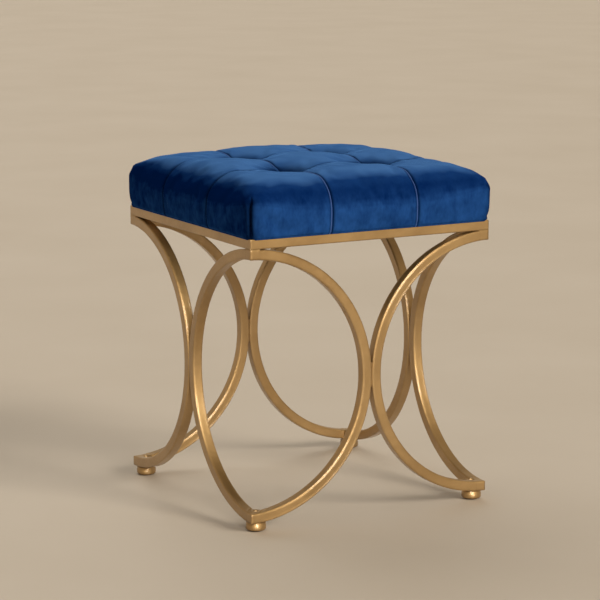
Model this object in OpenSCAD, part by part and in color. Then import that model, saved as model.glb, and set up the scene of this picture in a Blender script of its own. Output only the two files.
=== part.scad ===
// Square accent stool: a tufted velvet cushion on a frame of square steel tube.
// On each side two half rings stand back to back, so that an upright oval wraps each corner.
// The frame stands on four screw-in levelling glides. All sizes are in millimetres.
// The origin is at the bottom centre, on the floor. The front is the -Y side, the left is the -X side.

/* [Frame] */
// Outer width and depth of the square frame
frame_w = 400; // [360:5:450]
// Width and height of the square tube
tube = 15; // [13:0.5:18]
// Wall thickness of the square tube
tube_wall = 1.5; // [1:0.1:2]
// Radius on the long edges of the square tube
tube_round = 1.5; // [0.6:0.1:2]
// Gap that the weld fills where two half rings meet in the middle of a side
weld_gap = 0.6; // [0.4:0.1:1.2]
// Height of that weld
weld_h = 36; // [16:2:50]

/* [Glides] */
// Diameter of the round metal foot, which lies flush with the frame's corner
foot_d = 30; // [27:0.5:34]
// Height from the floor to the frame with the glide screwed fully in
foot_h = 13; // [12:0.5:18]
// Diameter of the threaded stud
stud_d = 8; // [6:0.5:10]
// Width of the stud's round head, which swivels in the foot
stud_head_d = 13; // [12:0.5:15]
// Height of the stud's round head
stud_head_h = 3.4; // [2.5:0.1:4]
// Distance from the top of the boss down to the end of the stud
stud_low = 2; // [1:0.5:4]
// Thickness of the rubber sole
sole_t = 3.2; // [2.5:0.1:4]
// Height that the sole stands proud of the metal foot
sole_show = 1.2; // [0.6:0.1:1.8]
// Diameter of the rubber sole
sole_d = 22; // [18:0.5:24]

/* [Cushion] */
// Overhang of the cushion past the frame, on each side
seat_over = 6; // [4:0.5:10]
// Height of the cushion from the frame to its highest point
cushion_h = 86; // [76:1:110]
// Width of the middle panels, from seam to seam
panel_mid_w = 144; // [120:2:160]
// Depth of the four sewn tufts
tuft_depth = 20; // [8:0.5:24]
// Depth of the seams across the top, beside the tufts
seam_depth = 7; // [2:0.5:9]
// Depth of the same seams away from the tufts
seam_shallow = 1.6; // [0.5:0.1:3]
// Depth of the seams down the sides
side_seam_depth = 1.2; // [0.5:0.1:3]
// Fall of the top from the middle to its corners
crown_drop = 4; // [1:0.5:8]
// Extra fall right at the corners
corner_drop = 6; // [1:0.5:9]
// Width of the soft rounding between the top and the sides
shoulder_w = 54; // [30:1:60]
// Height of that rounding
shoulder_h = 50; // [30:1:52]
// Radius of the cushion's upright corners
corner_r = 12; // [8:1:20]
// Distance that the sides draw in at the bottom
draw_in = 5.2; // [2:0.1:8]
// Thickness of the velvet with its backing
cover_t = 1.4; // [0.8:0.1:2]
// Width of velvet that is folded under the board
hem_w = 30; // [20:1:34]
// Thickness of the plywood board
board_t = 12; // [9:0.5:18]
// Thickness of the dust cover under the board
dust_t = 0.6; // [0.4:0.1:1]

/* [Fixings] */
// Length of the corner brackets along each rail
bracket_leg = 62; // [50:1:80]
// Thickness of the corner brackets
bracket_t = 3; // [2:0.5:5]
// Distance from the rails to the seat bolts
bolt_inset = 25; // [22:0.5:28]
// Diameter of the seat bolts
bolt_d = 6; // [5:0.5:8]
// Diameter of the flange on the tee nuts
tee_d = 19; // [17:0.5:24]
// Thickness of the flange on the tee nuts
tee_flange_t = 1.5; // [1:0.1:2]
// Thickness of the bolt washers
washer_t = 1.2; // [0.8:0.1:2]
// Diameter of the tufting twine
twine_d = 1.8; // [1:0.1:3]
// Diameter of the discs that hold the twine under the board
disc_d = 18; // [12:1:30]

/* [Hidden] */

// Turn of each side and each corner from the front, seen from above
FRONT = 0;
RIGHT = 90;
BACK = 180;
LEFT = 270;
CORNERS = [FRONT, RIGHT, BACK, LEFT];

half = frame_w / 2;
ring_r = half - weld_gap / 2;
ring_z = foot_h + ring_r;
rail_z = ring_z + ring_r;
rail_top = rail_z + tube;
foot_in = foot_d / 2;

// Fits
run_gap = 0.05;
boss_gap = 0.8;
swivel_gap = 0.3;
soft_gap = 0.5;
bolt_gap = 0.3;
weld_fit = 0.01;
eps = 0.01;

// Boss for the stud, between the slanted ends of the half rings
boss_d = 2 * (tube / sqrt(2) - boss_gap);

// Heights of the seat's layers
dust_z = rail_top;
hem_z = dust_z + dust_t;
board_z = hem_z + cover_t;
board_top = board_z + board_t;
cushion_top = rail_top + cushion_h;

// Plan sizes of the cushion, as half widths
seat_half = half + seat_over;
base_half = seat_half - draw_in;
flat_half = seat_half - shoulder_w;
board_half = base_half - cover_t - soft_gap;
board_r = corner_r - cover_t - soft_gap;
seam = panel_mid_w / 2;
bolt_in = tube + bolt_inset;
tee_barrel_d = bolt_d + 2;

// Lines of points across each panel, as shares of its width
PANEL_STEPS = [0, 0.13, 0.5, 0.87];
// Rings round the side: four turns over the shoulder, then shares of the wall's height
SHOULDER_TURNS = [22.5, 45, 67.5, 90];
WALL_SHARES = [0.3, 0.6, 0.85, 1];
// Distances over which the seams fade out on both sides and along themselves, and the tufts round them
SEAM_REACH = 16;
SEAM_FADE = 40;
TUFT_REACH = 28;
// Rounding of the top's corners in plan, for each mm outside the seams, and the share by which
// the shoulder is lower there, with the distance over which that fades out
CORNER_SPREAD = 0.44;
CORNER_EASE = 0.36;
CORNER_REACH = 45;
// Largest share of the cushion's height that the shoulder may take
SHOULDER_MOST = 0.6;

/* Colours */
gold = [0.70, 0.55, 0.36];
velvet = [0.04, 0.16, 0.40];
steel = [0.72, 0.72, 0.72];
black = [0.08, 0.08, 0.08];

// Points of a rectangle round the origin with rounded corners
function rounded(w, h, r, steps) = [
    for (q = [0:3])
        let (sx = (q == 0 || q == 3) ? 1 : -1, sy = q < 2 ? 1 : -1)
        for (k = [0:steps])
            let (a = 90 * (q + k / steps))
            [sx * (w / 2 - r) + r * cos(a), sy * (h / 2 - r) + r * sin(a)]
];

// Cross section of the square tube, round the origin
module tube_outline() {
    polygon(rounded(tube, tube, tube_round, 3));
}
module tube_section() {
    difference() {
        tube_outline();
        square(tube - 2 * tube_wall, center = true);
    }
}

// Turns a piece made for the front left corner, or for the front side, to its own place
module at(turn) {
    rotate([0, 0, turn]) children();
}

// Moves the origin to the frame's front left corner edge, on the floor
module from_corner() {
    translate([-half, -half, 0]) children();
}

// A bar along the front of the top frame with the section that it is given, mitred at both ends
module mitred_bar() {
    intersection() {
        translate([0, tube / 2, rail_z + tube / 2])
            rotate([90, 0, 90])
                linear_extrude(frame_w)
                    children();
        linear_extrude(rail_top + tube)
            polygon([[0, 0], [frame_w, 0], [frame_w - tube, tube], [tube, tube]]);
    }
}

// One side of the top frame. Made for the front.
module rail(turn) {
    color(gold) at(turn) from_corner()
        mitred_bar() tube_section();
}

// The curve of a half ring in the plane of the front, with the section that it is given
module ring_curve() {
    translate([0, 0, ring_z])
        rotate([90, 0, 0])
            rotate([0, 0, -90])
                rotate_extrude(angle = 180, $fn = 180)
                    translate([ring_r - tube / 2, -tube / 2])
                        children();
}

// One half ring, bowed in from the left corner of the front.
// Its ends are cut at 45 degrees, where they meet the corner blocks.
module half_ring() {
    from_corner()
        difference() {
            ring_curve() tube_section();
            linear_extrude(rail_top)
                polygon([
                    [-tube, -tube], [0, -tube], [2 * tube, tube], [2 * tube, 2 * tube], [-tube, 2 * tube]
                ]);
        }
}

// The left half ring of a side
module ring_left_hand(turn) {
    color(gold) at(turn) half_ring();
}

// The right half ring of a side
module ring_right_hand(turn) {
    color(gold) at(turn) mirror([1, 0, 0]) half_ring();
}

// One solid arm of a corner block, between the heights low and high. It carries the curve of a
// half ring on to the corner, butts against that ring's end and is mitred at the corner.
module block_arm(low, high) {
    intersection() {
        ring_curve() tube_outline();
        translate([0, 0, low])
            linear_extrude(high - low)
                polygon([[0, 0], [tube, 0], [2 * tube, tube], [tube, tube]]);
    }
}

// Both arms of a corner block
module block_arms(low, high) {
    block_arm(low, high);
    mirror([1, -1, 0]) block_arm(low, high);
}

// Solid block between the upper ring ends and the rails. Its top is welded into the rails'
// rounded lower edges and ground flush.
module top_block(turn) {
    color(gold) at(turn) from_corner()
        difference() {
            union() {
                block_arms(ring_z, rail_z);
                translate([0, 0, rail_z - tube / 2])
                    linear_extrude(tube / 2 + tube_round)
                        polygon([[0, 0], [tube, 0], [2 * tube, tube], [tube, 2 * tube], [0, tube]]);
            }
            mitred_bar() tube_outline();
            mirror([1, -1, 0]) mitred_bar() tube_outline();
        }
}

// Solid block between the lower ring ends, with a round boss that is drilled for the glide's stud
module foot_block(turn) {
    color(gold) at(turn) from_corner()
        difference() {
            union() {
                block_arms(0, ring_z);
                translate([foot_in, foot_in, foot_h])
                    cylinder(d = boss_d, h = tube, $fn = 64);
            }
            translate([foot_in, foot_in, foot_h - 1])
                cylinder(d = stud_d + 2 * run_gap, h = 2 * tube, $fn = 48);
        }
}

// Half thickness of the weld between two half rings, at a height over their middle
function weld_half(z) = half - sqrt(pow(ring_r, 2) - pow(z, 2)) - weld_fit;

// Welds that fill the narrow gap between the two half rings of each side
module side_welds() {
    steps = 16;
    reach = weld_h / 2;
    heights = [for (k = [0:steps]) reach * (2 * k / steps - 1)];
    color(gold)
        for (turn = CORNERS)
            at(turn)
                translate([0, -half + tube_round, ring_z])
                    rotate([-90, 0, 0])
                        linear_extrude(tube - 2 * tube_round)
                            polygon(concat(
                                [for (z = heights) [weld_half(z), z]],
                                [for (k = [steps:-1:0]) [-weld_half(heights[k]), heights[k]]]
                            ));
}

// Flat steel plate in each top corner, which the seat is bolted to
module bracket(turn) {
    color(gold) at(turn) from_corner()
        difference() {
            translate([tube, tube, rail_top - bracket_t])
                linear_extrude(bracket_t)
                    polygon([
                        [0, 0], [bracket_leg, 0], [bracket_leg, tube], [tube, bracket_leg], [0, bracket_leg]
                    ]);
            translate([bolt_in, bolt_in, rail_top - bracket_t - 1])
                cylinder(d = bolt_d + 2 * bolt_gap, h = bracket_t + 2, $fn = 40);
        }
}

// Turned metal foot: a drum with a groove under its top edge and a rounded bottom edge
module glide_foot(turn) {
    foot_r = foot_d / 2;
    lip = foot_d * 0.03;
    belly = foot_h * 0.3;
    groove_z = foot_h * 0.68;
    pocket_top = sole_t + stud_head_h + 2 * swivel_gap;
    color(gold) at(turn) from_corner()
        translate([foot_in, foot_in, 0])
            rotate_extrude($fn = 72)
                polygon([
                    [sole_d / 2, sole_show], [foot_r - belly + sole_show, sole_show],
                    for (a = [30, 60])
                        [foot_r - (belly - sole_show) * (1 - sin(a)), belly - (belly - sole_show) * cos(a)],
                    [foot_r, belly], [foot_r, groove_z],
                    [foot_r - lip, groove_z + lip], [foot_r - lip, groove_z + 2 * lip],
                    [foot_r - lip / 3, groove_z + 3 * lip], [foot_r - lip / 3, foot_h - lip],
                    [foot_r - lip * 4 / 3, foot_h],
                    [stud_d / 2 + run_gap, foot_h], [stud_d / 2 + run_gap, pocket_top],
                    [stud_head_d / 2 + swivel_gap, pocket_top], [stud_head_d / 2 + swivel_gap, sole_t],
                    [sole_d / 2, sole_t]
                ]);
}

// Rubber disc pressed into the underside of the foot
module glide_sole(turn) {
    edge = sole_show / 2;
    color(black) at(turn) from_corner()
        translate([foot_in, foot_in, 0])
            rotate_extrude($fn = 72)
                polygon([
                    [0, 0], [sole_d / 2 - run_gap - edge, 0], [sole_d / 2 - run_gap, edge],
                    [sole_d / 2 - run_gap, sole_t], [0, sole_t]
                ]);
}

// Threaded stud with a round head that turns inside the foot, and a screwdriver slot in its top
module glide_stud(turn) {
    head_z = sole_t + swivel_gap;
    stud_top = foot_h + tube - stud_low;
    tip = stud_d * 0.1;
    slot_w = stud_d * 0.16;
    color(steel) at(turn) from_corner()
        translate([foot_in, foot_in, 0])
            difference() {
                rotate_extrude($fn = 48)
                    polygon([
                        [0, head_z], [stud_head_d / 2, head_z], [stud_head_d / 2, head_z + stud_head_h],
                        [stud_d / 2, head_z + stud_head_h], [stud_d / 2, stud_top - tip],
                        [stud_d / 2 - tip, stud_top], [0, stud_top]
                    ]);
                translate([-stud_d, -slot_w / 2, stud_top - 2 * slot_w])
                    cube([2 * stud_d, slot_w, 2 * slot_w + 1]);
            }
}

// Plywood base of the seat, drilled for the bolts, the tee nuts and the tufting twine
module seat_board() {
    color("burlywood")
        difference() {
            translate([0, 0, board_z])
                linear_extrude(board_t)
                    polygon(rounded(2 * board_half, 2 * board_half, board_r, 6));
            for (turn = CORNERS)
                at(turn) {
                    from_corner() translate([bolt_in, bolt_in, board_z - 1]) {
                        cylinder(d = tee_barrel_d + 2 * run_gap, h = board_t + 2, $fn = 40);
                        translate([0, 0, 1 + board_t - tee_flange_t])
                            cylinder(d = tee_d + 2 * soft_gap, h = tee_flange_t + 1, $fn = 48);
                    }
                    translate([seam, seam, board_z - 1])
                        cylinder(d = twine_d + 2 * soft_gap, h = board_t + 2, $fn = 24);
                }
        }
}

// The cushion's form. Stations run from the edge of the top, over the three panels, to the other edge.
function stations(flat) = let (e = [-flat, -seam, seam, flat]) [
    for (p = [0:2])
        for (f = PANEL_STEPS)
            e[p] + f * (e[p + 1] - e[p]),
    flat
];

// 1 at a distance of 0, falling towards 0 past the given reach
function near(d, reach, power) = exp(-pow(abs(d) / reach, power));
// 1 at a corner of the top, falling fast along the edges
function cornerness(x, y) = pow(abs(x * y) / pow(flat_half, 2), 4);
// Depth of a seam at a distance d along it from a tuft
function seam_fall(d) = seam_shallow + (seam_depth - seam_shallow) * near(d, SEAM_FADE, 2);

// Height of the top, lowered by the given layer thickness
function top_z(x, y, layer) = let (dx = abs(x) - seam, dy = abs(y) - seam)
    cushion_top - layer
    - crown_drop * (x * x + y * y) / (2 * pow(flat_half, 2))
    - corner_drop * cornerness(x, y)
    - max(seam_fall(dy) * near(dx, SEAM_REACH, 1.3), seam_fall(dx) * near(dy, SEAM_REACH, 1.3))
    - tuft_depth * near(norm([dx, dy]), TUFT_REACH, 1.3);

// Keeps the middle panel in place and stretches the outer panels to the half width a
function stretch(v, flat, a) = abs(v) <= seam ? v
    : sign(v) * (seam + (abs(v) - seam) * (a - seam) / (flat - seam));

// Pulls a point of the square of half width a onto rounded corners of radius r
function soften(p, a, r) = let (
        c = a - r,
        d = [abs(p[0]) - c, abs(p[1]) - c]
    )
    (d[0] > 0 && d[1] > 0)
        ? let (n = r / norm(d)) [sign(p[0]) * (c + d[0] * n), sign(p[1]) * (c + d[1] * n)]
        : p;

// A point of the top, whose square rings get rounder corners towards the edge
function top_point(x, y, layer) = let (
        a = max(abs(x), abs(y)),
        p = soften([x, y], a, CORNER_SPREAD * max(0, a - seam))
    )
    [p[0], p[1], top_z(p[0], p[1], layer)];

// Half width of the side wall at a share s of its height, from 0 at the shoulder to 1 at the bottom
function wall_half(s) = base_half + (seat_half - base_half) * sqrt(max(0, 1 - pow(s, 4)));

// Edge points of the top, once round
function edge_indices(n) = [
    for (i = [0:n - 1]) [i, 0],
    for (j = [0:n - 1]) [n, j],
    for (i = [n:-1:1]) [i, n],
    for (j = [n:-1:1]) [0, j]
];

// Draws a point of the side in where a seam runs down it
function seam_pull(p, x, y, a) = let (
        across_x = abs(abs(x) - seam) < eps && abs(p[1]) > a - 1,
        across_y = abs(abs(y) - seam) < eps && abs(p[0]) > a - 1
    )
    [
        p[0] - (across_y ? sign(p[0]) * side_seam_depth : 0),
        p[1] - (across_x ? sign(p[1]) * side_seam_depth : 0)
    ];

// One ring of points: edge is the top's edge, a the half width, r the corner radius and zs the heights
function ring_points(edge, flat, a, r, zs) = [
    for (k = [0:len(edge) - 1])
        let (
            x = edge[k][0],
            y = edge[k][1],
            p = soften([stretch(x, flat, a), stretch(y, flat, a)], a, r),
            q = seam_pull(p, x, y, a)
        )
        [q[0], q[1], zs[k]]
];

// All the points of the cushion's skin, a layer inside the velvet, down to the height bottom
function skin_grid(layer) = let (flat = flat_half - layer, s = stations(flat), n = len(s) - 1) [
    for (j = [0:n])
        for (i = [0:n])
            top_point(s[i], s[j], layer)
];
function skin_rings(layer, bottom) = let (
        flat = flat_half - layer,
        s = stations(flat),
        n = len(s) - 1,
        edge = [for (e = edge_indices(n)) [s[e[0]], s[e[1]]]],
        rim = [for (e = edge) top_point(e[0], e[1], layer)[2]],
        rim_r = CORNER_SPREAD * (flat - seam),
        fall = min(shoulder_h, SHOULDER_MOST * cushion_h),
        drop = [for (e = edge) fall * (1 - CORNER_EASE * near(abs(e[0]) - abs(e[1]), CORNER_REACH, 2))]
    )
    concat(
        [
            for (t = SHOULDER_TURNS)
                ring_points(edge, flat, flat + shoulder_w * sin(t),
                    rim_r + (corner_r - layer - rim_r) * (1 - cos(t)),
                    [for (k = [0:len(edge) - 1]) rim[k] - drop[k] * (1 - cos(t))])
        ],
        [
            for (w = WALL_SHARES)
                let (
                    zs = [for (k = [0:len(edge) - 1]) let (z = rim[k] - drop[k]) z + w * (bottom - z)],
                    share = w * (cushion_top - bottom) / (cushion_top - hem_z)
                )
                ring_points(edge, flat, wall_half(share) - layer, corner_r - layer, zs)
        ]
    );

// Joins a list of lists into one list
function flatten(lists) = [for (l = lists) for (v = l) v];

// Triangles of a grid with n cells each way, seen from above or, turned over, from below
function grid_faces(n, first, over) = [
    for (j = [0:n - 1])
        for (i = [0:n - 1])
            let (a = first + j * (n + 1) + i, b = a + 1, c = b + n + 1, d = a + n + 1)
            for (f = over ? [[a, b, c], [a, c, d]] : [[a, c, b], [a, d, c]]) f
];

// Triangles between two rings of point numbers. On the inner skin they run upwards, turned over,
// so that both skins and the foam are split along the same diagonals.
function band_faces(first, next, over) = [
    for (k = [0:len(first) - 1])
        let (m = (k + 1) % len(first), a = first[k], b = first[m], c = next[m], d = next[k])
        for (f = over ? [[a, b, d], [b, c, d]] : [[a, c, d], [a, b, c]]) f
];

// Point numbers of a ring, or of the grid's edge
function ring_numbers(first, count) = [for (k = [0:count - 1]) first + k];
function edge_numbers(n, first) = [for (e = edge_indices(n)) first + e[1] * (n + 1) + e[0]];

// Shaped foam: flat on the board, domed on top, with the tufts and seams pressed in
module seat_foam() {
    layer = cover_t + soft_gap;
    grid = skin_grid(layer);
    rings = skin_rings(layer, board_top);
    n = 3 * len(PANEL_STEPS);
    count = 4 * n;
    points = concat(grid, flatten(rings), [[0, 0, board_top]]);
    start = len(grid);
    centre = len(points) - 1;
    last = ring_numbers(start + (len(rings) - 1) * count, count);
    color("khaki")
        polyhedron(points, concat(
            grid_faces(n, 0, false),
            band_faces(edge_numbers(n, 0), ring_numbers(start, count), false),
            [
                for (r = [1:len(rings) - 1])
                    each band_faces(ring_numbers(start + (r - 1) * count, count),
                        ring_numbers(start + r * count, count), false)
            ],
            [for (k = [0:count - 1]) [last[k], last[(k + 1) % count], centre]]
        ));
}

// Velvet cover: a skin over the foam and the board, folded under the board in a flat hem
module seat_cover() {
    outer = skin_rings(0, hem_z);
    inner = skin_rings(cover_t, board_z);
    hem_half = base_half - hem_w;
    n = 3 * len(PANEL_STEPS);
    count = 4 * n;
    foot = outer[len(outer) - 1];
    hem_low = [for (p = foot) [p[0] * hem_half / base_half, p[1] * hem_half / base_half, hem_z]];
    hem_high = [for (p = hem_low) [p[0], p[1], board_z]];
    grid_count = (n + 1) * (n + 1);
    rings = concat(outer, [hem_low, hem_high], [for (r = [len(inner) - 1:-1:0]) inner[r]]);
    points = concat(skin_grid(0), flatten(rings), skin_grid(cover_t));
    start = grid_count;
    second = start + len(rings) * count;
    color(velvet)
        polyhedron(points, concat(
            grid_faces(n, 0, false),
            band_faces(edge_numbers(n, 0), ring_numbers(start, count), false),
            [
                for (r = [1:len(rings) - 1])
                    each band_faces(ring_numbers(start + (r - 1) * count, count),
                        ring_numbers(start + r * count, count), r > len(outer) + 1)
            ],
            band_faces(ring_numbers(second - count, count), edge_numbers(n, second), true),
            grid_faces(n, second, true)
        ));
}

// Thin black cloth that closes the underside, between the board and the frame
module dust_cover() {
    dust_half = half - tube / 2;
    color(black)
        difference() {
            translate([0, 0, dust_z])
                linear_extrude(dust_t)
                    polygon(rounded(2 * dust_half, 2 * dust_half, tube_round, 3));
            for (turn = CORNERS)
                at(turn) from_corner()
                    translate([bolt_in, bolt_in, dust_z - 1])
                        cylinder(d = bolt_d + 2 * bolt_gap, h = dust_t + 2, $fn = 40);
        }
}

// Waxed twine that pulls the four tufts down through the foam and the board
module tuft_twine() {
    tie_z = top_z(seam, seam, cover_t + soft_gap);
    color("ivory")
        for (turn = CORNERS)
            at(turn)
                translate([seam, seam, hem_z + run_gap])
                    cylinder(d = twine_d, h = tie_z - hem_z - run_gap, $fn = 24);
}

// Fibre discs under the board that the twine is tied to
module tuft_discs() {
    color("dimgray")
        for (turn = CORNERS)
            at(turn)
                translate([seam, seam, hem_z + run_gap])
                    difference() {
                        cylinder(d = disc_d, h = cover_t - run_gap, $fn = 48);
                        translate([0, 0, -1])
                            cylinder(d = twine_d + 2 * run_gap, h = cover_t + 2, $fn = 24);
                    }
}

// Tee nuts let into the top of the board, under the foam
module tee_nuts() {
    barrel_h = board_t - 3;
    color(steel)
        for (turn = CORNERS)
            at(turn) from_corner()
                translate([bolt_in, bolt_in, board_top - tee_flange_t])
                    difference() {
                        union() {
                            cylinder(d = tee_d, h = tee_flange_t, $fn = 48);
                            translate([0, 0, tee_flange_t - barrel_h])
                                cylinder(d = tee_barrel_d, h = barrel_h, $fn = 40);
                        }
                        translate([0, 0, -barrel_h])
                            cylinder(d = bolt_d + 2 * run_gap, h = 2 * barrel_h, $fn = 40);
                    }
}

// Hexagon head bolts that hold the seat down, screwed up through the brackets
module seat_bolts() {
    head_h = bolt_d * 0.65;
    head_d = bolt_d * 1.92;
    head_z = rail_top - bracket_t - washer_t;
    color(steel)
        for (turn = CORNERS)
            at(turn) from_corner()
                translate([bolt_in, bolt_in, head_z]) {
                    translate([0, 0, -head_h])
                        cylinder(d = head_d, h = head_h, $fn = 6);
                    translate([0, 0, -eps])
                        cylinder(d = bolt_d, h = board_top - 0.5 - head_z + eps, $fn = 40);
                }
}

// Flat washers between the bolt heads and the brackets
module bolt_washers() {
    color(steel)
        for (turn = CORNERS)
            at(turn) from_corner()
                translate([bolt_in, bolt_in, rail_top - bracket_t - washer_t])
                    difference() {
                        cylinder(d = bolt_d * 2.2, h = washer_t, $fn = 40);
                        translate([0, 0, -1])
                            cylinder(d = bolt_d + 2 * run_gap, h = washer_t + 2, $fn = 40);
                    }
}

rail(FRONT);  // rail_front
rail(RIGHT);  // rail_right
rail(BACK);  // rail_back
rail(LEFT);  // rail_left
top_block(FRONT);  // top_block_front_left
top_block(RIGHT);  // top_block_front_right
top_block(BACK);  // top_block_back_right
top_block(LEFT);  // top_block_back_left
foot_block(FRONT);  // foot_block_front_left
foot_block(RIGHT);  // foot_block_front_right
foot_block(BACK);  // foot_block_back_right
foot_block(LEFT);  // foot_block_back_left
ring_left_hand(FRONT);  // ring_front_left
ring_right_hand(FRONT);  // ring_front_right
ring_left_hand(RIGHT);  // ring_right_front
ring_right_hand(RIGHT);  // ring_right_back
ring_left_hand(BACK);  // ring_back_right
ring_right_hand(BACK);  // ring_back_left
ring_left_hand(LEFT);  // ring_left_back
ring_right_hand(LEFT);  // ring_left_front
side_welds();
bracket(FRONT);  // bracket_front_left
bracket(RIGHT);  // bracket_front_right
bracket(BACK);  // bracket_back_right
bracket(LEFT);  // bracket_back_left
glide_foot(FRONT);  // glide_foot_front_left
glide_foot(RIGHT);  // glide_foot_front_right
glide_foot(BACK);  // glide_foot_back_right
glide_foot(LEFT);  // glide_foot_back_left
glide_sole(FRONT);  // glide_sole_front_left
glide_sole(RIGHT);  // glide_sole_front_right
glide_sole(BACK);  // glide_sole_back_right
glide_sole(LEFT);  // glide_sole_back_left
glide_stud(FRONT);  // glide_stud_front_left
glide_stud(RIGHT);  // glide_stud_front_right
glide_stud(BACK);  // glide_stud_back_right
glide_stud(LEFT);  // glide_stud_back_left
seat_board();
seat_foam();
seat_cover();
dust_cover();
tuft_twine();
tuft_discs();
tee_nuts();
seat_bolts();
bolt_washers();
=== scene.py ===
# Accent stool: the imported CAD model, dressed as the real product is finished.
# Everything is in metres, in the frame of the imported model.
import math

import bpy
import numpy as np
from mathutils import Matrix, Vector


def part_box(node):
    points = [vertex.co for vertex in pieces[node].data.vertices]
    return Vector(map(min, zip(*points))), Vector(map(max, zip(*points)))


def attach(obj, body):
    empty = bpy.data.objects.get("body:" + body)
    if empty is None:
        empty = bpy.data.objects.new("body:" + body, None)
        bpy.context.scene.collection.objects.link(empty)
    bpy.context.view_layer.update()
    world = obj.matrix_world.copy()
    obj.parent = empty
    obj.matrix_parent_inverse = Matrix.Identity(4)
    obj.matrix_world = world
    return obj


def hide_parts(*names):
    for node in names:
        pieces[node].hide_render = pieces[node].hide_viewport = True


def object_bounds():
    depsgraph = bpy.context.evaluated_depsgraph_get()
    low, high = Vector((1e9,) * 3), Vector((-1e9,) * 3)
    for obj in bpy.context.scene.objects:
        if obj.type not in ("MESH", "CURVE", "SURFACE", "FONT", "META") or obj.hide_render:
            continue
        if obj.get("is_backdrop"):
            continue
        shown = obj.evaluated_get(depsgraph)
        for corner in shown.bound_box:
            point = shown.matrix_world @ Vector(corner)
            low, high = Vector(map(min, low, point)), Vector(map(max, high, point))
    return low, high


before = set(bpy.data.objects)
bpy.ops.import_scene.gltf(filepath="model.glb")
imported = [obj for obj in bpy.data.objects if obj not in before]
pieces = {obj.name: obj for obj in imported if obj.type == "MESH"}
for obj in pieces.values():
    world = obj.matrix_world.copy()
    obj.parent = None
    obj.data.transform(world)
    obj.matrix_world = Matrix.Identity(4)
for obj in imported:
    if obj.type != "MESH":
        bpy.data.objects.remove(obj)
cad_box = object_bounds()

# Camera: a long lens a little above the seat, turned 29 degrees to the left of the front,
# so that the front of the stool is seen nearly square on and its left side at a slant.
lens_data = bpy.data.cameras.new("camera")
lens_data.lens = 142.7
lens_data.sensor_width = 36
camera = bpy.data.objects.new("camera", lens_data)
camera.location = (-1.737, -3.126, 0.942)
camera.rotation_euler = (math.radians(79.70), 0, math.radians(-28.92))
bpy.context.collection.objects.link(camera)
bpy.context.scene.camera = camera


# Welded frame: rails, bent half rings, corner blocks, welds and brackets of steel, ground
# smooth at the joints and sprayed with a satin gold paint. The paint is a little cloudy and
# slightly rippled, and it covers every edge.
FRAME_NODES = ("rail_", "ring_", "top_block_", "foot_block_", "side_welds", "bracket_")
GOLD_LIGHT = (0.450, 0.286, 0.116, 1)
GOLD_DEEP = (0.360, 0.220, 0.082, 1)
ARC_ROUND = 0.005
RAIL_ROUND = 0.0018
ARM_LENGTH = 0.015
PAINT_RIPPLE = 0.00035
PAINT_GRAIN = 0.00002


def put(tree, kind, sockets=(), **properties):
    """Adds a shader node. sockets pairs an input's name with a value or with an output."""
    made = tree.nodes.new("ShaderNode" + kind)
    for name, value in properties.items():
        setattr(made, name, value)
    for name, value in dict(sockets).items():
        if isinstance(value, bpy.types.NodeSocket):
            tree.links.new(value, made.inputs[name])
        else:
            made.inputs[name].default_value = value
    return made


def finish_named(name):
    """A new node material, with its tree and its Principled shader."""
    material = bpy.data.materials.new(name)
    material.use_nodes = True
    return material, material.node_tree, material.node_tree.nodes["Principled BSDF"]


def cloud(tree, scale, detail=2, stretch=(1, 1, 1)):
    """Noise from 0 to 1 that is fixed to the piece; scale is in patches per metre."""
    place = put(tree, "TexCoord").outputs["Object"]
    stretched = put(tree, "Mapping", {"Vector": place, "Scale": stretch}).outputs["Vector"]
    noise = put(tree, "TexNoise", {"Vector": stretched, "Scale": scale, "Detail": detail})
    return noise.outputs["Fac"]


def spread(tree, value, low, high, out_low=0.0, out_high=1.0):
    """Maps a value from low..high to out_low..out_high, without going past them."""
    sockets = {0: value, 1: low, 2: high, 3: out_low, 4: out_high}
    return put(tree, "MapRange", sockets, clamp=True).outputs[0]


def mix(tree, factor, first, second):
    """A colour between first and second."""
    made = put(tree, "Mix", {"Factor": factor, "A": first, "B": second}, data_type="RGBA")
    return made.outputs["Result"]


def relief(tree, height, depth, below=None):
    """A normal for small relief of that depth in metres, on top of the relief below."""
    sockets = {"Height": height, "Distance": depth, "Strength": 1.0}
    if below is not None:
        sockets["Normal"] = below
    return put(tree, "Bump", sockets).outputs["Normal"]


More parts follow.
